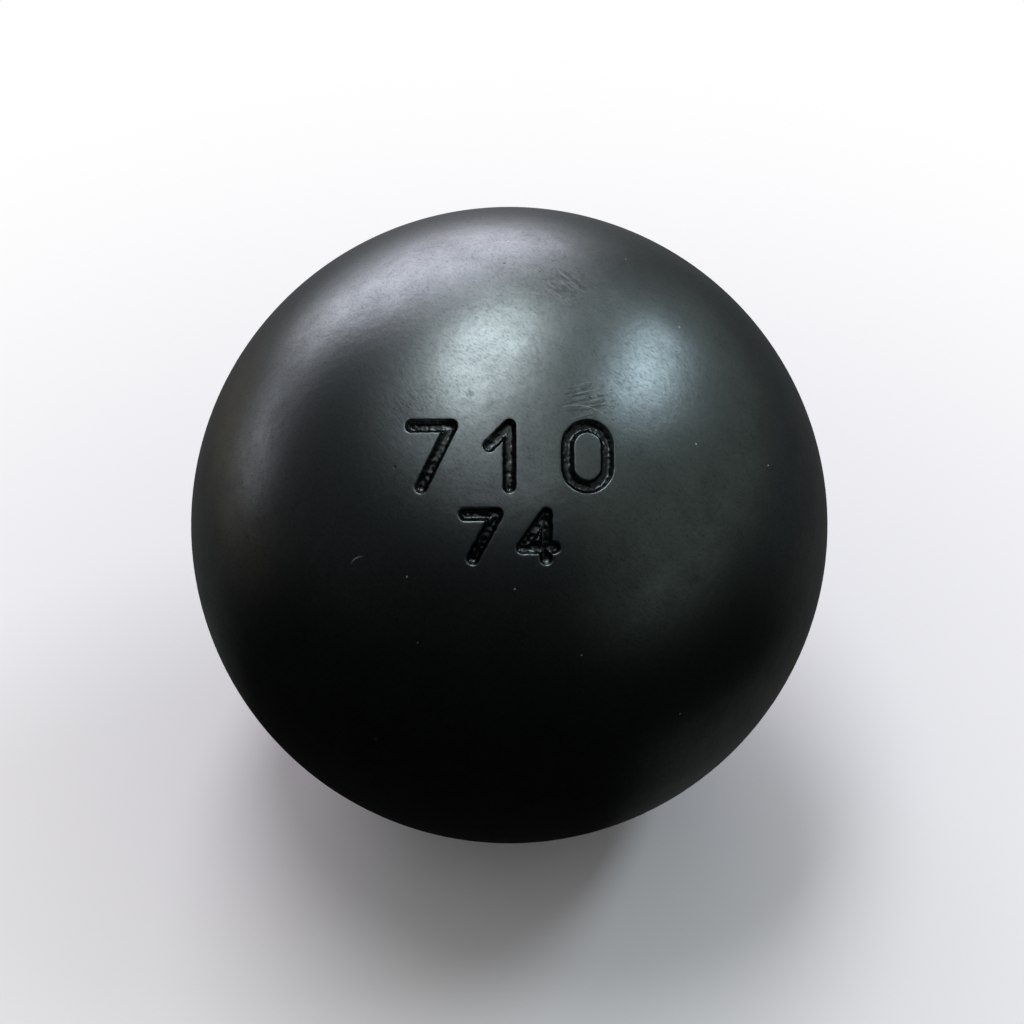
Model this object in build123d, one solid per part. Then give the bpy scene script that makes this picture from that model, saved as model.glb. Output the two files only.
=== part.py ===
from build123d import *

import math
import os

# Steel ball, in millimetres and grams per cubic millimetre
outer_diameter = 74.0
wall = 6.25
steel_density = 0.00785

# Weld groove between the two half shells
groove_root_width = 2.0
groove_bevel = 30.0
root_land = 1.2

# Centring lip of the lower half shell, and its recess in the upper one
lip_thickness = 1.0
lip_height = 1.5
lip_chamfer = 0.3
lip_clearance = 0.05
lip_end_gap = 0.1

# Engraved figures: the weight in grams, and below it the diameter in millimetres
mark_elevation = 45.0
stroke_width = 1.4
engraving_depth = 0.7
weight_step = 10.0
weight_height = 7.8
weight_width = 5.6
weight_spacing = 2.6
weight_rise = 7.2
diameter_height = 6.0
diameter_width = 4.7
diameter_spacing = 1.3
diameter_rise = -1.2

outer_radius = outer_diameter / 2
inner_radius = outer_radius - wall

# The halves meet on the plane z = 0, where lip, land and groove follow each other out from the hollow
lip_radius = inner_radius + lip_thickness
recess_radius = lip_radius + lip_clearance
recess_height = lip_height + lip_end_gap
root_radius = recess_radius + root_land
root_half_width = groove_root_width / 2


def groove_rim():
    """Where the bevel that rises from the groove's root breaks the outside of the ball."""
    run = math.cos(math.radians(groove_bevel))
    rise = math.sin(math.radians(groove_bevel))
    along = root_radius * run + root_half_width * rise
    root_distance = math.hypot(root_radius, root_half_width)
    length = math.sqrt(along**2 + outer_radius**2 - root_distance**2) - along
    return root_radius + length * run, root_half_width + length * rise


rim_radius, rim_height = groove_rim()


def straight_run(*points):
    """Straight edges through the points, one after the other."""
    return [Edge.make_line(start, end) for start, end in zip(points, points[1:])]


def ball_arc(radius, start, end):
    """An arc about the ball's centre, from one point of a section to another."""
    angle = (math.atan2(start[1], start[0]) + math.atan2(end[1], end[0])) / 2
    middle = (radius * math.cos(angle), radius * math.sin(angle))
    return Edge.make_three_point_arc(start, middle, end)


def turned(*edges):
    """A closed section in the X-Z plane, turned once about the Z axis."""
    section = Face(Wire(list(edges)))
    return revolve(Plane.XZ * section, Axis.Z)


def upper_shell_blank():
    """The upper half shell before it is engraved: bevelled rim outside, recess for the lip inside."""
    inner_pole = (0, inner_radius)
    outer_pole = (0, outer_radius)
    rim = (rim_radius, rim_height)
    recess_top = (math.sqrt(inner_radius**2 - recess_height**2), recess_height)
    rim_section = straight_run(
        rim,
        (root_radius, root_half_width),
        (root_radius, 0),
        (recess_radius, 0),
        (recess_radius, recess_height),
        recess_top,
    )
    return turned(
        *straight_run(inner_pole, outer_pole),
        ball_arc(outer_radius, outer_pole, rim),
        *rim_section,
        ball_arc(inner_radius, recess_top, inner_pole),
    )


def lower_shell():
    """The lower half shell: the same bevelled rim, and the lip that centres the upper half."""
    inner_pole = (0, -inner_radius)
    outer_pole = (0, -outer_radius)
    rim = (rim_radius, -rim_height)
    lip_foot = (inner_radius, 0)
    rim_section = straight_run(
        rim,
        (root_radius, -root_half_width),
        (root_radius, 0),
        (lip_radius, 0),
        (lip_radius, lip_height - lip_chamfer),
        (lip_radius - lip_chamfer, lip_height),
        (inner_radius, lip_height),
        lip_foot,
    )
    return turned(
        *straight_run(inner_pole, outer_pole),
        ball_arc(outer_radius, outer_pole, rim),
        *rim_section,
        ball_arc(inner_radius, lip_foot, inner_pole),
    )


def weld_ring():
    """The bead that fills the groove between the halves, turned flush with the ball."""
    upper_rim = (rim_radius, rim_height)
    lower_rim = (rim_radius, -rim_height)
    groove = straight_run(
        lower_rim,
        (root_radius, -root_half_width),
        (root_radius, root_half_width),
        upper_rim,
    )
    return turned(*groove, ball_arc(outer_radius, upper_rim, lower_rim))


def figure_strokes(figure, width, height):
    """Centre lines of one figure in a box: two points are a straight stroke, three are an arc."""
    bowl = width / 2
    half = height / 2
    quarter = height / 4
    top_arch = ((0, height - bowl), (bowl, height), (width, height - bowl))
    bottom_arch = ((0, bowl), (bowl, 0), (width, bowl))
    left_side = ((0, bowl), (0, height - bowl))
    right_side = ((width, bowl), (width, height - bowl))
    head = ((0, height), (width, height))
    foot = ((0, 0), (width, 0))
    upper_bowl = (
        ((quarter, height), (width - quarter, height)),
        ((width - quarter, height), (width, half + quarter), (width - quarter, half)),
        ((quarter, half), (width - quarter, half)),
    )
    lower_bowl = (
        ((quarter, half), (width - quarter, half)),
        ((width - quarter, half), (width, quarter), (width - quarter, 0)),
        ((quarter, 0), (width - quarter, 0)),
    )
    stem = width - bowl / 2
    strokes = {
        "0": (top_arch, left_side, right_side, bottom_arch),
        "1": (((0, height - bowl), (bowl, height)), ((bowl, height), (bowl, 0))),
        "2": (top_arch, ((width, height - bowl), (0, 0)), foot),
        "3": (*upper_bowl, *lower_bowl),
        "4": (((stem, 0), (stem, height)), ((stem, height), (0, quarter)), ((0, quarter), (width, quarter))),
        "5": (head, ((0, half), (0, height)), ((0, half), (quarter, half)), *lower_bowl),
        "6": (top_arch, left_side, bottom_arch, ((0, bowl), (bowl, width), (width, bowl))),
        "7": (head, ((width, height), (bowl / 2, 0))),
        "8": (
            *upper_bowl,
            *lower_bowl,
            ((quarter, height), (0, half + quarter), (quarter, half)),
            ((quarter, half), (0, quarter), (quarter, 0)),
        ),
        "9": (
            bottom_arch,
            right_side,
            top_arch,
            ((0, height - bowl), (bowl, height - width), (width, height - bowl)),
        ),
    }
    return strokes[figure]


def stroke_slot(points):
    """The flat, round-ended path of the cutter along one stroke."""
    if len(points) == 3:
        return SlotArc(Edge.make_three_point_arc(*points), stroke_width)
    start, end = Vector(*points[0]), Vector(*points[1])
    return SlotCenterPoint((start + end) / 2, end, stroke_width)


def figure_row(text, figure_width, figure_height, spacing, rise):
    """One centred row of figures, with its middle at the given rise."""
    line_width = figure_width - stroke_width
    line_height = figure_height - stroke_width
    pitch = figure_width + spacing
    left = -((len(text) - 1) * pitch + line_width) / 2
    row = Sketch()
    for place, figure in enumerate(text):
        corner = Pos(left + place * pitch, rise - line_height / 2)
        for stroke in figure_strokes(figure, line_width, line_height):
            row += corner * stroke_slot(stroke)
    return row


# The figures give the weight to the nearest step and the diameter to the nearest millimetre
ball_weight = steel_density * 4 / 3 * math.pi * (outer_radius**3 - inner_radius**3)
weight_text = f"{round(ball_weight / weight_step) * weight_step:.0f}"
diameter_text = f"{outer_diameter:.0f}"
print("engraved figures:", weight_text, "and", diameter_text, "for", round(ball_weight, 1), "g")


def engraving():
    """The figures as cutters that face the mark's direction and stop at the engraving's depth."""
    tilt = math.radians(mark_elevation)
    face = Plane(origin=(0, 0, 0), x_dir=(1, 0, 0), z_dir=(0, -math.cos(tilt), math.sin(tilt)))
    figures = figure_row(weight_text, weight_width, weight_height, weight_spacing, weight_rise)
    figures += figure_row(diameter_text, diameter_width, diameter_height, diameter_spacing, diameter_rise)
    cutters = extrude(face * figures, outer_diameter)
    return cutters - Sphere(outer_radius - engraving_depth)


parts = {
    "upper_half_shell": upper_shell_blank() - engraving(),
    "lower_half_shell": lower_shell(),
    "weld_bead": weld_ring(),
}

os.makedirs("parts", exist_ok=True)
for name, part in parts.items():
    export_step(part, f"parts/{name}.step")
    print(name, round(part.volume, 1), "mm3", round(part.volume * steel_density, 1), "g")
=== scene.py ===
# %% [markdown]
# A petanque boule is a hollow steel ball: two pressed half shells, welded rim to rim, turned smooth,
# engraved and blackened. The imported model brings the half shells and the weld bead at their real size.
# Here each of them is made again as a fine mesh of its own, because a glossy ball shows every facet.

# %% Load the frame
import math

import bmesh
import bpy
import numpy as np
from mathutils import Matrix, Quaternion, Vector, noise


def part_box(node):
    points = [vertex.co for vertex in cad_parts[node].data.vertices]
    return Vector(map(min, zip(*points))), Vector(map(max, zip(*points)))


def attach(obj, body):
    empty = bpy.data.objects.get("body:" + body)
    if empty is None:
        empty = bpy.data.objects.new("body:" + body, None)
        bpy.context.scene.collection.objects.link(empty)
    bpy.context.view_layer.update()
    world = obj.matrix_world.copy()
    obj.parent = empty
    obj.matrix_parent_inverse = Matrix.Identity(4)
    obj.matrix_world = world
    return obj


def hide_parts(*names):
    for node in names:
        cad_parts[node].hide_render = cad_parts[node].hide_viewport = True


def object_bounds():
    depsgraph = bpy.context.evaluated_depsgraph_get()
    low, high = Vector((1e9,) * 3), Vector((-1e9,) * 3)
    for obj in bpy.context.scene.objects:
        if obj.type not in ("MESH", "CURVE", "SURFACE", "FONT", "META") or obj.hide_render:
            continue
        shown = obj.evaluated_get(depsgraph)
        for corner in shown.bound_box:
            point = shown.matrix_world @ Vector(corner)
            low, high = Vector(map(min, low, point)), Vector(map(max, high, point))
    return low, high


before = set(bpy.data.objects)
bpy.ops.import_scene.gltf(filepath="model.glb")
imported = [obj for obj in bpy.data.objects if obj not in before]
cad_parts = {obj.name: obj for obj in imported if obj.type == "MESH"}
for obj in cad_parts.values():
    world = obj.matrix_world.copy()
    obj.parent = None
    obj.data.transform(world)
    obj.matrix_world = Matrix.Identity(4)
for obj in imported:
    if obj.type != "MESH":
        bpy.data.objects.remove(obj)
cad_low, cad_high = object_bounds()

MM = 0.001
print("nodes in the frame:", sorted(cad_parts))

# %% [markdown]
# The outside comes from the frame: the ball reaches as high as its radius, and the weld bead is as tall
# as the groove is wide at the surface. The sizes inside the joint can't be read from a box, so they are
# named here as the part has them.

# %% Sizes of the ball
BALL_RADIUS = cad_high.z
RIM_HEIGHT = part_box("weld_bead")[1].z
LIP_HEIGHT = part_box("lower_half_shell")[1].z
WALL = 6.25 * MM
LIP_THICKNESS = 1.0 * MM
LIP_CHAMFER = 0.3 * MM
LIP_CLEARANCE = 0.05 * MM
LIP_END_GAP = 0.1 * MM
ROOT_LAND = 1.2 * MM
ROOT_HALF_WIDTH = 1.0 * MM

hollow_radius = BALL_RADIUS - WALL
rim_radius = math.sqrt(BALL_RADIUS**2 - RIM_HEIGHT**2)
lip_radius = hollow_radius + LIP_THICKNESS
recess_radius = lip_radius + LIP_CLEARANCE
recess_height = LIP_HEIGHT + LIP_END_GAP
root_radius = recess_radius + ROOT_LAND
print(f"ball of {2 * BALL_RADIUS / MM:.1f} mm, hollow of {2 * hollow_radius / MM:.1f} mm")

# %% [markdown]
# A turned piece starts as half of its section, drawn in the X-Z plane. A straight run is one new vertex
# at the end of the last one. A round run is the last vertex spun about the ball's centre. The section is
# then spun once about Z, which is what a lathe does to the real ball.

# %% Draw and turn a section
TURN_STEPS = 192
ARC_STEP = 0.86 * MM
LEAST_ARC_STEPS = 8
SAME_PLACE = 0.001 * MM
OUTSIDE, INSIDE = 0, 1


def straight_to(bm, corner, target):
    """Adds one edge from a corner of the section to a target of (radius, height)."""
    added = bmesh.ops.extrude_vert_indiv(bm, verts=[corner])["verts"][0]
    added.co = (target[0], 0.0, target[1])
    return added


def arc_to(bm, corner, target):
    """Spins a corner of the section about the ball's centre, to the direction of a target."""
    turn = math.atan2(corner.co.z, corner.co.x) - math.atan2(target[1], target[0])
    steps = max(LEAST_ARC_STEPS, round(abs(turn) * corner.co.length / ARC_STEP))
    spun = bmesh.ops.spin(bm, geom=[corner], cent=(0, 0, 0), axis=(0, 1, 0), angle=turn, steps=steps)
    last = next(item for item in spun["geom_last"] if isinstance(item, bmesh.types.BMVert))
    last.co = (target[0], 0.0, target[1])
    return last


def turned_piece(start, runs):
    """A bmesh turned from a section; its faces on the ball's surface get the OUTSIDE slot."""
    bm = bmesh.new()
    corner = bm.verts.new((start[0], 0.0, start[1]))
    for draw, target in runs:
        corner = draw(bm, corner, target)
    section = bm.verts[:] + bm.edges[:]
    bmesh.ops.spin(
        bm, geom=section, cent=(0, 0, 0), axis=(0, 0, 1), angle=math.tau, steps=TURN_STEPS, use_merge=True
    )
    bmesh.ops.remove_doubles(bm, verts=bm.verts, dist=SAME_PLACE)
    bmesh.ops.recalc_face_normals(bm, faces=bm.faces)
    for face in bm.faces:
        on_skin = all(abs(vert.co.length - BALL_RADIUS) < SAME_PLACE for vert in face.verts)
        face.material_index = OUTSIDE if on_skin else INSIDE
        face.smooth = True
    return bm


print(f"each step of a turn is {math.tau * BALL_RADIUS / TURN_STEPS / MM:.2f} mm at the weld")

# %% [markdown]
# The marks on a boule are cut by a small round-nosed tool that follows single strokes. So each figure is
# a few centre lines: two points are a straight stroke, three are a half circle. The figures are plain
# ones, the weight in grams above the diameter in millimetres.

# %% Strokes of the engraved figures
MARK_ELEVATION = math.radians(45.0)
STROKE_WIDTH = 1.4 * MM
ROWS = (
    # figures, figure width, figure height, spacing, rise of the row's middle
    ("710", 5.6 * MM, 7.8 * MM, 2.6 * MM, 7.2 * MM),
    ("74", 4.7 * MM, 6.0 * MM, 1.3 * MM, -1.2 * MM),
)
mark_right = Vector((1.0, 0.0, 0.0))
mark_up = Vector((0.0, math.sin(MARK_ELEVATION), math.cos(MARK_ELEVATION)))
mark_out = Vector((0.0, -math.cos(MARK_ELEVATION), math.sin(MARK_ELEVATION)))


def figure_strokes(figure, width, height):
    """Centre lines of one figure in a box, as the part has them."""
    bowl = width / 2
    quarter = height / 4
    stem = width - bowl / 2
    strokes = {
        "0": (
            ((0, height - bowl), (bowl, height), (width, height - bowl)),
            ((0, bowl), (0, height - bowl)),
            ((width, bowl), (width, height - bowl)),
            ((0, bowl), (bowl, 0), (width, bowl)),
        ),
        "1": (((0, height - bowl), (bowl, height)), ((bowl, height), (bowl, 0))),
        "4": (((stem, 0), (stem, height)), ((stem, height), (0, quarter)), ((0, quarter), (width, quarter))),
        "7": (((0, height), (width, height)), ((width, height), (bowl / 2, 0))),
    }
    return strokes[figure]


def row_strokes(text, figure_width, figure_height, spacing, rise):
    """Centre lines of one centred row, in the plane that faces the mark's direction."""
    width = figure_width - STROKE_WIDTH
    height = figure_height - STROKE_WIDTH
    pitch = figure_width + spacing
    left = -((len(text) - 1) * pitch + width) / 2
    for place, figure in enumerate(text):
        corner = np.array((left + place * pitch, rise - height / 2))
        for stroke in figure_strokes(figure, width, height):
            yield np.array(stroke) + corner


strokes = [stroke for row in ROWS for stroke in row_strokes(*row)]
print("strokes in the marks:", len(strokes))

# %% [markdown]
# To cut the grooves, every point of the surface has to know how far it lies from the nearest centre line.
# That is plain geometry in the plane that faces the mark, worked out for all points at once.

# %% Distance from the strokes


def distance_from_stroke(points, stroke):
    """Distance of each point from one centre line."""
    start, end = stroke[0], stroke[-1]
    chord = end - start
    length = np.linalg.norm(chord)
    if len(stroke) == 2:
        along = np.clip((points - start) @ chord / length, 0.0, length)
        nearest = start + along[:, None] * chord / length
    else:
        centre = (start + end) / 2
        radius = length / 2
        side = chord / length
        crown = (stroke[1] - centre) / radius
        offset = points - centre
        turn = np.arctan2(offset @ crown, -(offset @ side))
        turn = np.where(turn < -math.pi / 2, math.pi, np.clip(turn, 0.0, math.pi))
        nearest = centre + radius * (np.sin(turn)[:, None] * crown - np.cos(turn)[:, None] * side)
    return np.linalg.norm(points - nearest, axis=1)


def distance_from_marks(places):
    """Distance of each point of the ball from the nearest stroke."""
    places = np.asarray(places)
    flat = np.column_stack((places @ mark_right, places @ mark_up))
    nearest = np.min([distance_from_stroke(flat, stroke) for stroke in strokes], axis=0)
    return np.where(places @ mark_out > 0, nearest, BALL_RADIUS)


middle_gap = distance_from_marks([mark_out * BALL_RADIUS])[0]
print(f"the middle of the marked side is {middle_gap / MM:.2f} mm from a stroke")

# %% [markdown]
# The upper half shell is turned first. Its faces are about as wide as a stroke, far too coarse for a crisp
# groove, so the faces near the strokes are divided again and again, closer and closer in. New points
# start out on the straight edges between the old ones, so each round puts them back on the ball.

# %% Turn the upper half shell and divide it near the marks
DIVIDE_WITHIN = (3.2 * MM, 2.2 * MM, 1.5 * MM, 1.1 * MM)

upper = turned_piece(
    (0.0, BALL_RADIUS),
    (
        (arc_to, (rim_radius, RIM_HEIGHT)),
        (straight_to, (root_radius, ROOT_HALF_WIDTH)),
        (straight_to, (root_radius, 0.0)),
        (straight_to, (recess_radius, 0.0)),
        (straight_to, (recess_radius, recess_height)),
        (straight_to, (math.sqrt(hollow_radius**2 - recess_height**2), recess_height)),
        (arc_to, (0.0, hollow_radius)),
    ),
)
for reach in DIVIDE_WITHIN:
    skin = [face for face in upper.faces if face.material_index == OUTSIDE]
    gaps = distance_from_marks([face.calc_center_median() for face in skin])
    near_edges = {edge for face, gap in zip(skin, gaps) if gap < reach for edge in face.edges}
    bmesh.ops.subdivide_edges(upper, edges=list(near_edges), cuts=1, use_grid_fill=True)
    for face in upper.faces:
        if face.material_index == OUTSIDE:
            for vert in face.verts:
                vert.co *= BALL_RADIUS / vert.co.length
print("faces of the upper half shell:", len(upper.faces))

# %% [markdown]
# Now the tool goes down. The groove has steep walls and a rounded floor, its lips are slightly rolled, and
# the hopping tool leaves it lumpy. The lumps come from noise at each point, which moves the walls and the
# floor. How deep each point went is kept in an attribute, so that the finish can tell cut from skin.

# %% Cut the grooves
GROOVE_DEPTH = 0.7 * MM
FLOOR_FLATNESS = 3.2
LIP_ROLL = 0.12 * MM
LIP_REACH = 2.0
LUMP_SIZE = 0.5 * MM
WALL_LUMPS = 0.04 * MM
FLOOR_LUMPS = 0.09


def rolled_cut(share):
    """Depth at a share of the groove's half width, with the sharp lip at a share of 1 rolled over."""
    cut = GROOVE_DEPTH * (1 - share**FLOOR_FLATNESS)
    return (cut + np.sqrt(cut**2 + LIP_ROLL**2)) / 2


def groove_depth(places):
    """How deep the tool went at each point of the ball."""
    lumps = np.array([noise.noise(place / LUMP_SIZE) for place in places])
    distance = distance_from_marks(places) + WALL_LUMPS * lumps
    share = np.clip(distance / (STROKE_WIDTH / 2), 0.0, LIP_REACH)
    return (rolled_cut(share) - rolled_cut(LIP_REACH)) * (1 - FLOOR_LUMPS * lumps)


engraved = upper.verts.layers.float.new("engraved")
skin_verts = list({vert for face in upper.faces if face.material_index == OUTSIDE for vert in face.verts})
depth = groove_depth([vert.co for vert in skin_verts])
for vert, down in zip(skin_verts, depth):
    vert.co *= 1 - down / BALL_RADIUS
    vert[engraved] = min(1.0, down / GROOVE_DEPTH)
print(f"deepest cut {depth.max() / MM:.2f} mm")

# %% [markdown]
# The lower half shell and the weld bead come from the same corners, so their rims meet the upper shell's
# exactly. The bead fills the groove and is turned flush, so on the outside it is only a narrow band.

# %% Turn the lower half shell and the weld bead
lower = turned_piece(
    (0.0, -BALL_RADIUS),
    (
        (arc_to, (rim_radius, -RIM_HEIGHT)),
        (straight_to, (root_radius, -ROOT_HALF_WIDTH)),
        (straight_to, (root_radius, 0.0)),
        (straight_to, (lip_radius, 0.0)),
        (straight_to, (lip_radius, LIP_HEIGHT - LIP_CHAMFER)),
        (straight_to, (lip_radius - LIP_CHAMFER, LIP_HEIGHT)),
        (straight_to, (hollow_radius, LIP_HEIGHT)),
        (straight_to, (hollow_radius, 0.0)),
        (arc_to, (0.0, -hollow_radius)),
    ),
)
bead = turned_piece(
    (rim_radius, -RIM_HEIGHT),
    (
        (straight_to, (root_radius, -ROOT_HALF_WIDTH)),
        (straight_to, (root_radius, ROOT_HALF_WIDTH)),
        (straight_to, (rim_radius, RIM_HEIGHT)),
        (arc_to, (rim_radius, -RIM_HEIGHT)),
    ),
)
print("faces of the lower half shell:", len(lower.faces), "and of the bead:", len(bead.faces))

# %% [markdown]
# Each bmesh becomes an object. Blender shades a smooth face from the average of its neighbours, and at the
# rims there are neighbours on one side only, which would show as a faint line round the ball. The true
# normal of a ball is known, so it is written into every corner that the tool didn't cut.

# %% Make the pieces
SHARP_ANGLE = math.radians(40.0)
UNCUT_DEPTH = 0.0005 * MM


def make_piece(name, bm, node):
    """Turns a bmesh into a piece that stands for a node of the frame."""
    mesh = bpy.data.meshes.new(name)
    bm.to_mesh(mesh)
    bm.free()
    mesh.set_sharp_from_angle(angle=SHARP_ANGLE)
    normals = [Vector(corner.vector) for corner in mesh.corner_normals]
    for face in mesh.polygons:
        if face.material_index != OUTSIDE:
            continue
        for corner in face.loop_indices:
            place = mesh.vertices[mesh.loops[corner].vertex_index].co
            if abs(place.length - BALL_RADIUS) < UNCUT_DEPTH:
                normals[corner] = place.normalized()
    mesh.normals_split_custom_set(normals)
    piece = bpy.data.objects.new(name, mesh)
    bpy.context.scene.collection.objects.link(piece)
    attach(piece, "root")
    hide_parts(node)
    print(name, "has", len(mesh.polygons), "faces")
    return piece


upper_shell = make_piece("engraved_upper_shell", upper, "upper_half_shell")
lower_shell = make_piece("plain_lower_shell", lower, "lower_half_shell")
weld_band = make_piece("flush_weld_bead", bead, "weld_bead")

# %% [markdown]
# Colours are written as the hex values that a picture program shows, and one function turns them into the
# linear light that shaders work in. One more function adds a node, sets its inputs and links them, so that
# each material reads as a list of what it is made of.

# %% Colour and node helpers


def linear(hex_colour):
    """An sRGB hex colour as linear red, green, blue and an alpha of 1."""
    shares = [int(hex_colour[i:i + 2], 16) / 255 for i in (1, 3, 5)]
    return (*[s / 12.92 if s <= 0.04045 else ((s + 0.055) / 1.055) ** 2.4 for s in shares], 1.0)


def add(tree, kind, inputs=None, **settings):
    """Adds a node; an input is a plain value, or another node's output to link."""
    node = tree.nodes.new(kind)
    for name, value in settings.items():
        setattr(node, name, value)
    for name, value in (inputs or {}).items():
        socket = node.inputs[name]
        if isinstance(value, bpy.types.NodeSocket):
            tree.links.new(value, socket)
        else:
            socket.default_value = value
    return node


def new_material(name):
    """An empty material with its node tree."""
    material = bpy.data.materials.new(name)
    material.use_nodes = True
    material.node_tree.nodes.clear()
    return material, material.node_tree


print(f"a grey of #808080 is {linear('#808080')[0]:.3f} in linear light")

# %% [markdown]
# Every pattern below is laid out in real sizes. A Mapping node of the Texture kind divides the piece's own
# coordinates by the size that it is given, so a texture of scale 1 then has features of that size. It can
# also turn the axes, for patterns that run in one direction.

# %% Coordinates in real sizes


def sized_coords(tree, size, turn=(0.0, 0.0, 0.0)):
    """The piece's own coordinates, counted in a real size along each of three turned axes."""
    own = add(tree, "ShaderNodeTexCoord").outputs["Object"]
    mapping = add(tree, "ShaderNodeMapping", {
        "Vector": own, "Rotation": turn, "Scale": size,
    }, vector_type="TEXTURE")
    return mapping.outputs["Vector"]


def on_ball(right, up):
    """The point of the ball that is so far right of and above the middle of the mark's side."""
    return right * mark_right + up * mark_up + math.sqrt(BALL_RADIUS**2 - right**2 - up**2) * mark_out


print("top of the marked side:", tuple(round(c / MM, 1) for c in on_ball(0.0, BALL_RADIUS)))

# %% [markdown]
# The ball is ground on a belt before it is blackened, and the belt leaves fine lines that follow circles
# round one axis. Noise squeezed along that axis gives thin layers, and where they meet the ball they show
# as such lines. The lines of a real belt are several times finer: they are drawn as coarse as they need
# to be to break up a highlight at this distance.

# %% Lines left by the grinding belt
BELT_SLOPE = math.radians(38.0)
GRAIN_LENGTH = 0.45 * MM
GRAIN_WIDTH = 0.17 * MM
GRAIN_DETAIL = 3.0
LINE_RAGGEDNESS = 0.6


def lines_on_ball(tree, slope, length, width, detail):
    """Noise in thin layers, which cross the mark at a slope down to the right."""
    along = math.cos(slope) * mark_right - math.sin(slope) * mark_up
    axis = mark_out.cross(along)
    turn = Matrix((along, axis.cross(along), axis)).transposed().to_euler()
    layers = add(tree, "ShaderNodeTexNoise", {
        "Vector": sized_coords(tree, (length, length, width), turn),
        "Scale": 1.0,
        "Detail": detail,
        "Roughness": LINE_RAGGEDNESS,
    })
    return layers.outputs["Fac"]


print(f"belt lines of {GRAIN_LENGTH / MM:.1f} by {GRAIN_WIDTH / MM:.2f} mm")

# %% [markdown]
# Play and storage add knocks. In each, the ball took a few long fine scratches down to lighter steel, and
# short dark gouges beside them. A dent has gouges only, and a rubbed place has faint streaks. All of them
# are the same lines as the belt's, cut off so that only the highest crests stay. Near the knock the cut
# comes lower, so that the marks crowd together there.

# %% Scratches and gouges
# length, width, where the crests are cut off at a knock, tone
SCRATCH = (6.0 * MM, 0.13 * MM, 0.50, 0.30)
GOUGE = (0.9 * MM, 0.36 * MM, 0.36, 0.6)
STREAK = (1.6 * MM, 0.22 * MM, 0.40, 0.3)
CREST_AWAY = 0.80
CREST_EDGE = 0.22
MARK_DETAIL = 2.0
KNOCKS = (
    # slope of the marks, place of the knock, how far it reaches
    (math.radians(41.0), on_ball(6.3 * MM, 25.9 * MM), 6.5 * MM),
    (math.radians(-14.0), on_ball(8.4 * MM, 13.0 * MM), 6.0 * MM),
)
# the same for one dent, and for one place that was rubbed
DENT = (math.radians(60.0), on_ball(-4.0 * MM, 13.8 * MM), 1.4 * MM)
RUB = (math.radians(48.0), on_ball(-11.5 * MM, 12.2 * MM), 7.0 * MM)


def knocked(tree, knock, mark):
    """The tone in the marks of one kind that a knock left, and 0 beside them."""
    slope, place, reach = knock
    length, width, crest_here, tone = mark
    own = add(tree, "ShaderNodeTexCoord").outputs["Object"]
    distance = add(tree, "ShaderNodeVectorMath", {0: own, 1: place}, operation="DISTANCE")
    crest = add(tree, "ShaderNodeMapRange", {
        "Value": distance.outputs["Value"], "From Max": reach, "To Min": crest_here, "To Max": CREST_AWAY,
    }, interpolation_type="SMOOTHSTEP")
    full = add(tree, "ShaderNodeMath", {0: crest.outputs["Result"], 1: CREST_EDGE}, operation="ADD")
    cut = add(tree, "ShaderNodeMapRange", {
        "Value": lines_on_ball(tree, slope, length, width, MARK_DETAIL),
        "From Min": crest.outputs["Result"],
        "From Max": full.outputs["Value"],
        "To Max": tone,
    })
    return cut.outputs["Result"]


print("knocks with scratches:", len(KNOCKS))

# %% [markdown]
# Where the edge of another ball or a stone has struck, it leaves a nick in the shape of a crescent. That is
# a ring round a point, kept on one side only: one Map Range node takes the ring from the distance to the
# point, and another takes the side from how far the surface lies in one direction.

# %% Nicks
NICK_WIDTH = 0.16 * MM
NICK_START = 0.75
NICKS = (
    # middle of the nick's circle, its radius, direction from the middle to the nick, how bare it is
    (on_ball(-15.5 * MM, -4.7 * MM), 1.4 * MM, 0.83 * mark_up - 0.55 * mark_right, 0.8),
    (on_ball(7.3 * MM, 7.6 * MM), 5.2 * MM, 0.97 * mark_up + 0.22 * mark_right, 0.25),
)


def nick(tree, middle, radius, towards, tone):
    """How bare the steel is in a crescent, and 0 elsewhere."""
    own = add(tree, "ShaderNodeTexCoord").outputs["Object"]
    offset = add(tree, "ShaderNodeVectorMath", {0: own, 1: middle}, operation="SUBTRACT").outputs["Vector"]
    length = add(tree, "ShaderNodeVectorMath", {0: offset}, operation="LENGTH").outputs["Value"]
    beside = add(tree, "ShaderNodeMath", {0: length, 1: radius}, operation="SUBTRACT").outputs["Value"]
    gap = add(tree, "ShaderNodeMath", {0: beside}, operation="ABSOLUTE").outputs["Value"]
    ring = add(tree, "ShaderNodeMapRange", {
        "Value": gap, "From Min": NICK_WIDTH / 2, "From Max": NICK_WIDTH / 4,
    })
    side = add(tree, "ShaderNodeVectorMath", {0: offset, 1: towards}, operation="DOT_PRODUCT")
    kept = add(tree, "ShaderNodeMapRange", {
        "Value": side.outputs["Value"], "From Min": NICK_START * radius, "From Max": radius, "To Max": tone,
    })
    return add(tree, "ShaderNodeMath", {
        0: ring.outputs["Result"], 1: kept.outputs["Result"],
    }, operation="MULTIPLY").outputs["Value"]


print("nicks:", len(NICKS))

# %% [markdown]
# Here and there a speck of the oxide has come off, and here and there is a dark pit. A Voronoi texture
# scatters points through space, and only the few that lie in the surface itself show, each as a dot.

# %% Specks and pits
SPECK_SPACING, SPECK_SIZE = 5.7 * MM, 0.3 * MM
PIT_SPACING, PIT_SIZE = 5.0 * MM, 0.4 * MM


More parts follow.
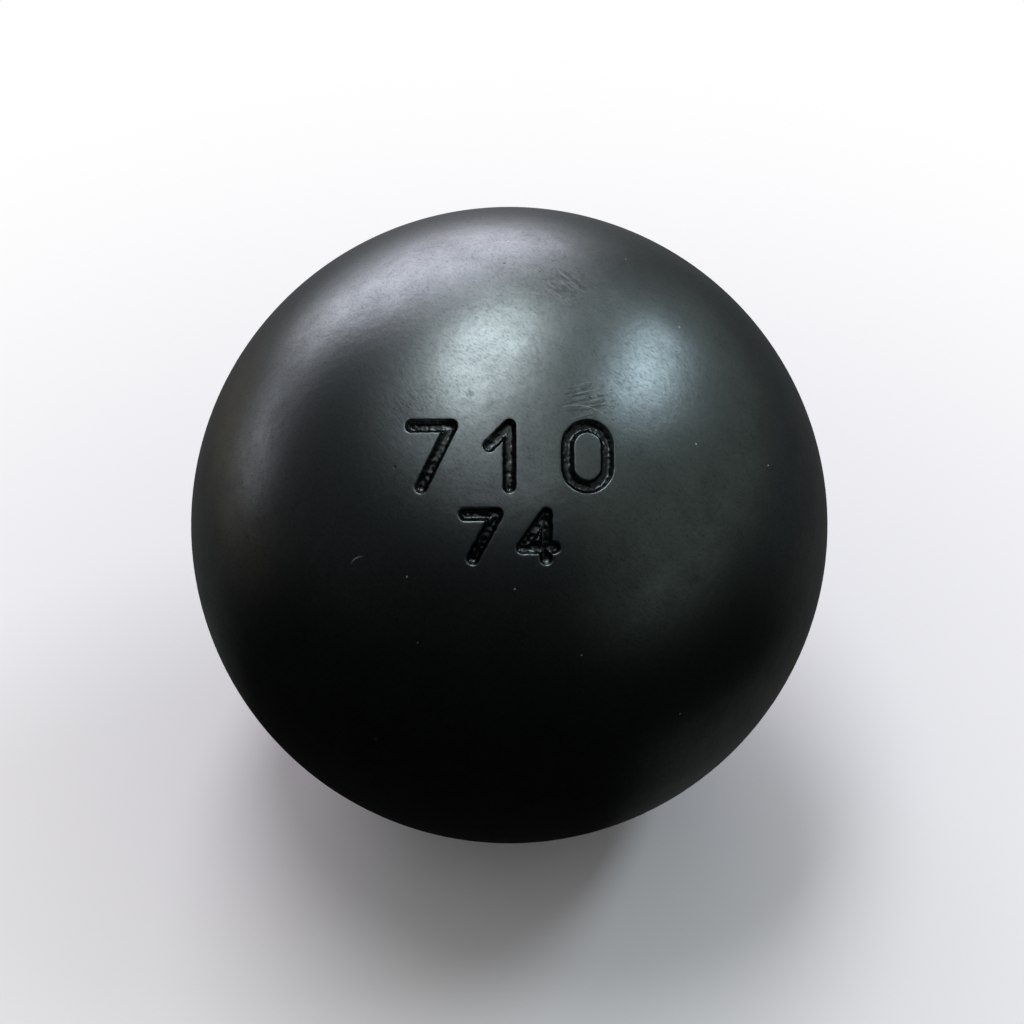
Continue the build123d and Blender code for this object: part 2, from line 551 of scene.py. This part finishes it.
def dots(tree, spacing, size):
    """1 in a dot and 0 elsewhere."""
    points = add(tree, "ShaderNodeTexVoronoi", {
        "Vector": sized_coords(tree, (spacing, spacing, spacing)), "Scale": 1.0,
    })
    inside = add(tree, "ShaderNodeMapRange", {
        "Value": points.outputs["Distance"],
        "From Min": size / spacing / 2,
        "From Max": size / spacing / 4,
    })
    return inside.outputs["Result"]


print(f"specks of {SPECK_SIZE / MM:.1f} mm and pits of {PIT_SIZE / MM:.1f} mm")

# %% [markdown]
# Blackened carbon steel is bare steel under a thin skin of black oxide. To the eye it is a dark metal with
# a satin gloss: broad soft highlights, broken into short dark flecks by the belt's lines, and a mottled tone
# where the oxide took more or less. It is rubbed thin and smooth on the crests of the lines, so they shine.
# In the cuts it was never rubbed, so they are darker, and the tool left them smoother. Scratches, nicks
# and specks go through to lighter, rougher steel, which catches light from all sides. Grinding also leaves
# low waves, which make the edges of the highlights uneven.

# %% Blackened steel
CUT_OXIDE = "#353A3A"
BARE_STEEL = "#B3B6B7"
THICK_ROUGHNESS, THIN_ROUGHNESS = 0.40, 0.30
CUT_ROUGHNESS = 0.23
BARE_ROUGHNESS = 0.75
OXIDE_PATCH = 5.0 * MM
PATCH_DETAIL, PATCH_RAGGEDNESS = 5.0, 0.75
PATCH_THICK, PATCH_THIN = 0.3, 0.7
CREST_THICK, CREST_THIN = 0.28, 0.52
GRAIN_SHARE = 0.45
LINE_HEIGHT = 0.011 * MM
WAVE_SIZE = 1.0 * MM
WAVE_HEIGHT = 0.016 * MM


def strongest(tree, marks):
    """The strongest of several marks at each point."""
    most = marks[0]
    for mark in marks[1:]:
        most = add(tree, "ShaderNodeMath", {0: most, 1: mark}, operation="MAXIMUM").outputs["Value"]
    return most


def blackened_steel(name, thin_oxide, thick_oxide):
    """Satin black steel, with the belt's lines, worn places, pits and darker cuts."""
    material, tree = new_material(name)
    mottle = add(tree, "ShaderNodeTexNoise", {
        "Vector": sized_coords(tree, (OXIDE_PATCH, OXIDE_PATCH, OXIDE_PATCH)),
        "Scale": 1.0,
        "Detail": PATCH_DETAIL,
        "Roughness": PATCH_RAGGEDNESS,
    }).outputs["Fac"]
    patch = add(tree, "ShaderNodeMapRange", {
        "Value": mottle, "From Min": PATCH_THICK, "From Max": PATCH_THIN,
    }).outputs["Result"]
    grain = lines_on_ball(tree, BELT_SLOPE, GRAIN_LENGTH, GRAIN_WIDTH, GRAIN_DETAIL)
    crests = add(tree, "ShaderNodeMapRange", {
        "Value": grain, "From Min": CREST_THICK, "From Max": CREST_THIN,
    }).outputs["Result"]
    scratches = [knocked(tree, knock, SCRATCH) for knock in KNOCKS]
    nicks = [nick(tree, *crescent) for crescent in NICKS]
    bare = strongest(tree, [dots(tree, SPECK_SPACING, SPECK_SIZE), *scratches, *nicks])
    gouges = [knocked(tree, knock, GOUGE) for knock in (*KNOCKS, DENT)]
    dented = strongest(tree, [dots(tree, PIT_SPACING, PIT_SIZE), knocked(tree, RUB, STREAK), *gouges])
    cut = add(tree, "ShaderNodeAttribute", attribute_name="engraved").outputs["Fac"]
    deep = strongest(tree, [cut, dented])

    thinned = add(tree, "ShaderNodeMix", {"Factor": GRAIN_SHARE, 2: patch, 3: crests})
    oxide = add(tree, "ShaderNodeMix", {
        "Factor": thinned.outputs[0], 6: linear(thick_oxide), 7: linear(thin_oxide),
    }, data_type="RGBA")
    oxide = add(tree, "ShaderNodeMix", {
        "Factor": deep, 6: oxide.outputs[2], 7: linear(CUT_OXIDE),
    }, data_type="RGBA")
    colour = add(tree, "ShaderNodeMix", {
        "Factor": bare, 6: oxide.outputs[2], 7: linear(BARE_STEEL),
    }, data_type="RGBA")

    roughness = add(tree, "ShaderNodeMix", {
        "Factor": thinned.outputs[0], 2: THICK_ROUGHNESS, 3: THIN_ROUGHNESS,
    })
    roughness = add(tree, "ShaderNodeMix", {"Factor": cut, 2: roughness.outputs[0], 3: CUT_ROUGHNESS})
    roughness = add(tree, "ShaderNodeMix", {"Factor": bare, 2: roughness.outputs[0], 3: BARE_ROUGHNESS})
    waves = add(tree, "ShaderNodeTexNoise", {
        "Vector": sized_coords(tree, (WAVE_SIZE, WAVE_SIZE, WAVE_SIZE)), "Scale": 1.0, "Detail": 1.0,
    }).outputs["Fac"]
    uneven = add(tree, "ShaderNodeMath", {
        0: waves, 1: WAVE_HEIGHT / LINE_HEIGHT, 2: grain,
    }, operation="MULTIPLY_ADD").outputs["Value"]
    worn = strongest(tree, [bare, dented])
    height = add(tree, "ShaderNodeMath", {0: uneven, 1: worn}, operation="SUBTRACT")
    relief = add(tree, "ShaderNodeBump", {"Height": height.outputs["Value"], "Distance": LINE_HEIGHT})
    shader = add(tree, "ShaderNodeBsdfPrincipled", {
        "Base Color": colour.outputs[2],
        "Metallic": 1.0,
        "Roughness": roughness.outputs[0],
        "Normal": relief.outputs["Normal"],
    })
    add(tree, "ShaderNodeOutputMaterial", {"Surface": shader.outputs["BSDF"]})
    print(name, "has", len(tree.nodes), "nodes")
    return material


# %% [markdown]
# The weld's filler steel takes the black oxide a shade darker than the shells do, so the same finish is
# made twice. The seam is turned and blackened away on the real ball, so the two are very close.

# %% Finish of the shells and of the weld
shell_steel = blackened_steel("blackened_carbon_steel", "#656D6E", "#3F4546")
weld_steel = blackened_steel("blackened_weld_steel", "#636B6C", "#3E4445")

# %% [markdown]
# Inside, nothing was ground or blackened: the steel is as the hot press left it, under dull grey scale. It
# shows only when the ball is sawn open. Noise gives its blotches and its pitted skin.

# %% Hot-pressed steel
SCALE_BLOTCH = 3.0 * MM
SCALE_PITTING = 0.05 * MM
SCALE_DETAIL = 8.0
SCALE_SMOOTH, SCALE_ROUGH = 0.5, 0.8


def hot_pressed_steel(name, pale_scale, dark_scale):
    """Dull steel with blotched mill scale."""
    material, tree = new_material(name)
    blotches = add(tree, "ShaderNodeTexNoise", {
        "Vector": sized_coords(tree, (SCALE_BLOTCH, SCALE_BLOTCH, SCALE_BLOTCH)),
        "Scale": 1.0,
        "Detail": SCALE_DETAIL,
    }).outputs["Fac"]
    colour = add(tree, "ShaderNodeMix", {
        "Factor": blotches, 6: linear(pale_scale), 7: linear(dark_scale),
    }, data_type="RGBA")
    roughness = add(tree, "ShaderNodeMapRange", {
        "Value": blotches, "To Min": SCALE_SMOOTH, "To Max": SCALE_ROUGH,
    })
    pitted = add(tree, "ShaderNodeBump", {"Height": blotches, "Distance": SCALE_PITTING})
    shader = add(tree, "ShaderNodeBsdfPrincipled", {
        "Base Color": colour.outputs[2],
        "Metallic": 1.0,
        "Roughness": roughness.outputs["Result"],
        "Normal": pitted.outputs["Normal"],
    })
    add(tree, "ShaderNodeOutputMaterial", {"Surface": shader.outputs["BSDF"]})
    print(name, "has", len(tree.nodes), "nodes")
    return material


inner_steel = hot_pressed_steel("hot_pressed_steel", "#77706A", "#45464A")
for piece, outer_steel in ((upper_shell, shell_steel), (lower_shell, shell_steel), (weld_band, weld_steel)):
    piece.data.materials.append(outer_steel)
    piece.data.materials.append(inner_steel)

# %% [markdown]
# The stage is a pale floor. Near the ball it is matt and takes the shadow, and further out it fades into the
# white of the background, but only for rays that look at it, straight from the camera or by way of metal
# and glass. The Light Path node tells them apart from rays that carry light, for which the floor stays matt.

# %% Floor
FLOOR_SIZE = 4.0
FADE_START, FADE_END = 50.0 * MM, 160.0 * MM
GROUND = -BALL_RADIUS


def stage_piece(name, bm, material):
    """A piece of the studio."""
    mesh = bpy.data.meshes.new(name)
    bm.to_mesh(mesh)
    bm.free()
    mesh.materials.append(material)
    piece = bpy.data.objects.new(name, mesh)
    bpy.context.scene.collection.objects.link(piece)
    return piece


def looking(tree):
    """1 for a ray that looks at something, and 0 for one that carries light from it."""
    path = add(tree, "ShaderNodeLightPath")
    rays = ("Is Camera Ray", "Is Glossy Ray", "Is Transmission Ray")
    return strongest(tree, [path.outputs[ray] for ray in rays])


floor_paper, tree = new_material("pale_paper")
distance = add(tree, "ShaderNodeVectorMath", {
    0: add(tree, "ShaderNodeTexCoord").outputs["Object"],
}, operation="LENGTH")
far = add(tree, "ShaderNodeMapRange", {
    "Value": distance.outputs["Value"], "From Min": FADE_START, "From Max": FADE_END,
}, interpolation_type="SMOOTHSTEP")
fade = add(tree, "ShaderNodeMath", {0: far.outputs["Result"], 1: looking(tree)}, operation="MULTIPLY")
matt = add(tree, "ShaderNodeBsdfDiffuse", {"Color": linear("#DADADA")})
white = add(tree, "ShaderNodeEmission", {"Color": linear("#FFFFFF")})
faded = add(tree, "ShaderNodeMixShader", {
    "Fac": fade.outputs["Value"], 1: matt.outputs["BSDF"], 2: white.outputs["Emission"],
})
add(tree, "ShaderNodeOutputMaterial", {"Surface": faded.outputs["Shader"]})
floor_bm = bmesh.new()
on_ground = Matrix.Translation((0.0, 0.0, GROUND))
bmesh.ops.create_grid(floor_bm, x_segments=1, y_segments=1, size=FLOOR_SIZE / 2, matrix=on_ground)
stage_piece("pale_floor", floor_bm, floor_paper)
print(f"the floor fades into white {FADE_END / MM:.0f} mm from the ball's centre")

# %% [markdown]
# A glossy black ball shows whatever stands round it, so a studio hangs cloth where it should stay dark.
# Here sheets and cards lie round the ball, dark curtains stand round its front and left, and a grey screen
# at its right. Only reflections see them. Each glows in one even tone, so that it is as dark as it is
# written wherever the lamps stand, and thins out at both ends, so that no hard edge shows in the ball.

# %% Cloths
CLOTH_INNER = 8.0 * MM
CLOTH_RADIUS = 2.0
CURTAIN_HEIGHT = 2.7
SCREEN_HEIGHT = 7.5
REAR_HEIGHT = 1.0
CLOTH_STEPS = 48
SOFT_END = 20.0  # degrees
FRONT_GROUND = GROUND + 0.2 * MM
REAR_GROUND = GROUND + 0.3 * MM
CARD_GROUND = GROUND + 0.4 * MM
NEAR_RADIUS = 1.95
CLOTHS = (
    # name, foot and head as (radius, height), first and last azimuth from +Y towards +X, tone
    ("black_front_sheet", (CLOTH_INNER, FRONT_GROUND), (CLOTH_RADIUS, FRONT_GROUND), 70, 290, "#161616"),
    ("dark_rear_sheet", (CLOTH_INNER, REAR_GROUND), (CLOTH_RADIUS, REAR_GROUND), -90, 90, "#4E4E4E"),
    ("right_card", (CLOTH_INNER, CARD_GROUND), (70.0 * MM, CARD_GROUND), 70, 140, "#484848"),
    ("left_card", (150.0 * MM, CARD_GROUND), (800.0 * MM, CARD_GROUND), -90, -40, "#857B6C"),
    ("rear_card", (150.0 * MM, CARD_GROUND), (800.0 * MM, CARD_GROUND), -15, 20, "#6C6C6C"),
    ("black_front_curtain", (CLOTH_RADIUS, GROUND), (CLOTH_RADIUS, CURTAIN_HEIGHT), 123, 250, "#222222"),
    ("dark_left_curtain", (NEAR_RADIUS, GROUND), (NEAR_RADIUS, CURTAIN_HEIGHT), 230, 324, "#404040"),
    ("grey_screen", (NEAR_RADIUS, GROUND), (NEAR_RADIUS, SCREEN_HEIGHT), 30, 143, "#888D84"),
    ("low_rear_screen", (CLOTH_RADIUS, GROUND), (CLOTH_RADIUS, REAR_HEIGHT), 12, 35, "#4A4A4A"),
)


def hang_cloth(name, foot, head, first, last, tone):
    """A line spun about Z, which only reflections see; half of each soft end lies past its azimuth."""
    bm = bmesh.new()
    line = [bm.verts.new((0.0, *foot)), bm.verts.new((0.0, *head))]
    edge = bm.edges.new(line)
    span = last - first + SOFT_END
    start = Matrix.Rotation(math.radians(SOFT_END / 2 - first), 3, "Z")
    bmesh.ops.rotate(bm, verts=line, cent=(0, 0, 0), matrix=start)
    sweep = -math.radians(span)
    bmesh.ops.spin(
        bm, geom=[*line, edge], cent=(0, 0, 0), axis=(0, 0, 1), angle=sweep, steps=CLOTH_STEPS
    )
    cover = bm.verts.layers.float.new("cover")
    for vert in bm.verts:
        azimuth = math.degrees(math.atan2(vert.co.x, vert.co.y))
        from_start = (azimuth - first + SOFT_END / 2) % 360
        to_end = max(0.0, min(from_start, span - from_start))
        vert[cover] = min(1.0, to_end / SOFT_END)
    material, tree = new_material(name)
    soft = add(tree, "ShaderNodeMixShader", {
        "Fac": add(tree, "ShaderNodeAttribute", attribute_name="cover").outputs["Fac"],
        1: add(tree, "ShaderNodeBsdfTransparent").outputs["BSDF"],
        2: add(tree, "ShaderNodeEmission", {"Color": linear(tone)}).outputs["Emission"],
    })
    add(tree, "ShaderNodeOutputMaterial", {"Surface": soft.outputs["Shader"]})
    cloth = stage_piece(name, bm, material)
    cloth.visible_camera = False
    cloth.visible_diffuse = False
    cloth.visible_transmission = False
    cloth.visible_shadow = False


for cloth in CLOTHS:
    hang_cloth(*cloth)
print("cloths round the ball:", len(CLOTHS))

# %% [markdown]
# The world is white wherever the camera or a reflection looks at it. As a light it is only a soft fill,
# which keeps the shadow on the floor open while the lamps do the modelling.

# %% World
FILL = 0.42

world = bpy.data.worlds.new("white_studio")
bpy.context.scene.world = world
world.use_nodes = True
tree = world.node_tree
tree.nodes.clear()
strength = add(tree, "ShaderNodeMapRange", {"Value": looking(tree), "To Min": FILL, "To Max": 1.0})
sky = add(tree, "ShaderNodeBackground", {
    "Color": linear("#FFFFFF"), "Strength": strength.outputs["Result"],
})
add(tree, "ShaderNodeOutputWorld", {"Surface": sky.outputs["Background"]})
print(f"the world is a fill of {FILL}")

# %% [markdown]
# Five soft lamps stand behind and beside the ball, as windows and ceiling lights would. Each is an ellipse
# that faces the ball, given by its direction, its size in metres and how bright its face is. Blender asks
# for a lamp's power instead, which is that brightness times pi and the area of the face.

# %% Lamps
LAMPS = (
    # name, azimuth, elevation, roll, distance, width and height, brightness, colour
    ("top_softbox", -22, 71, 42, 1.2, (0.40, 1.02), 7.3, "#FBFCFF"),
    ("side_softbox", 62, 43, -49, 1.2, (0.21, 0.88), 9.9, "#E8F4FF"),
    ("rear_panel", -14, 23, -15, 1.2, (1.04, 0.59), 3.9, "#FBEEFF"),
    ("left_panel", -37, 13, 30, 1.2, (0.44, 0.28), 3.5, "#FFF4FF"),
    ("low_strip", -57, 9.7, 33, 0.5, (0.60, 0.106), 1.65, "#FFF6FF"),
)


def softbox(name, azimuth, elevation, roll, distance, size, radiance, colour):
    """A flat round lamp that faces the ball: azimuth from +Y towards +X, angles in degrees."""
    a, e = math.radians(azimuth), math.radians(elevation)
    direction = Vector((math.cos(e) * math.sin(a), math.cos(e) * math.cos(a), math.sin(e)))
    lamp = bpy.data.lights.new(name, "AREA")
    lamp.shape = "ELLIPSE"
    lamp.size, lamp.size_y = size
    lamp.color = linear(colour)[:3]
    face_area = math.pi / 4 * lamp.size * lamp.size_y
    lamp.energy = radiance * math.pi * face_area
    holder = bpy.data.objects.new(name, lamp)
    holder.location = direction * distance
    turn = direction.to_track_quat("Z", "Y") @ Quaternion((0, 0, 1), -math.radians(roll))
    holder.rotation_euler = turn.to_euler()
    holder.visible_camera = False
    bpy.context.scene.collection.objects.link(holder)
    print(f"{name} of {lamp.energy:.1f} W")


for settings in LAMPS:
    softbox(*settings)

# %% [markdown]
# The camera looks along the mark's direction, as the photograph does. Its distance follows from how many
# pixels the ball's outline takes up, and a small shift puts that outline where the photograph has it.

# %% Camera
LENS, SENSOR = 100.0, 36.0
PHOTO_SIZE = 1024
BALL_PIXELS = 318.3
BALL_CENTRE = (509.3, 525.1)

half_angle = math.atan(BALL_PIXELS * SENSOR / (PHOTO_SIZE * LENS))
camera_distance = BALL_RADIUS / math.sin(half_angle)
camera_data = bpy.data.cameras.new("photo_camera")
camera_data.lens = LENS
camera_data.sensor_width = SENSOR
camera_data.shift_x = (PHOTO_SIZE / 2 - BALL_CENTRE[0]) / PHOTO_SIZE
camera_data.shift_y = (BALL_CENTRE[1] - PHOTO_SIZE / 2) / PHOTO_SIZE
camera = bpy.data.objects.new("photo_camera", camera_data)
camera.location = mark_out * camera_distance
camera.rotation_euler = mark_out.to_track_quat("Z", "Y").to_euler()
bpy.context.scene.collection.objects.link(camera)
bpy.context.scene.camera = camera
bpy.context.scene.view_settings.view_transform = "Standard"
print(f"camera {camera_distance / MM:.0f} mm from the ball's centre")
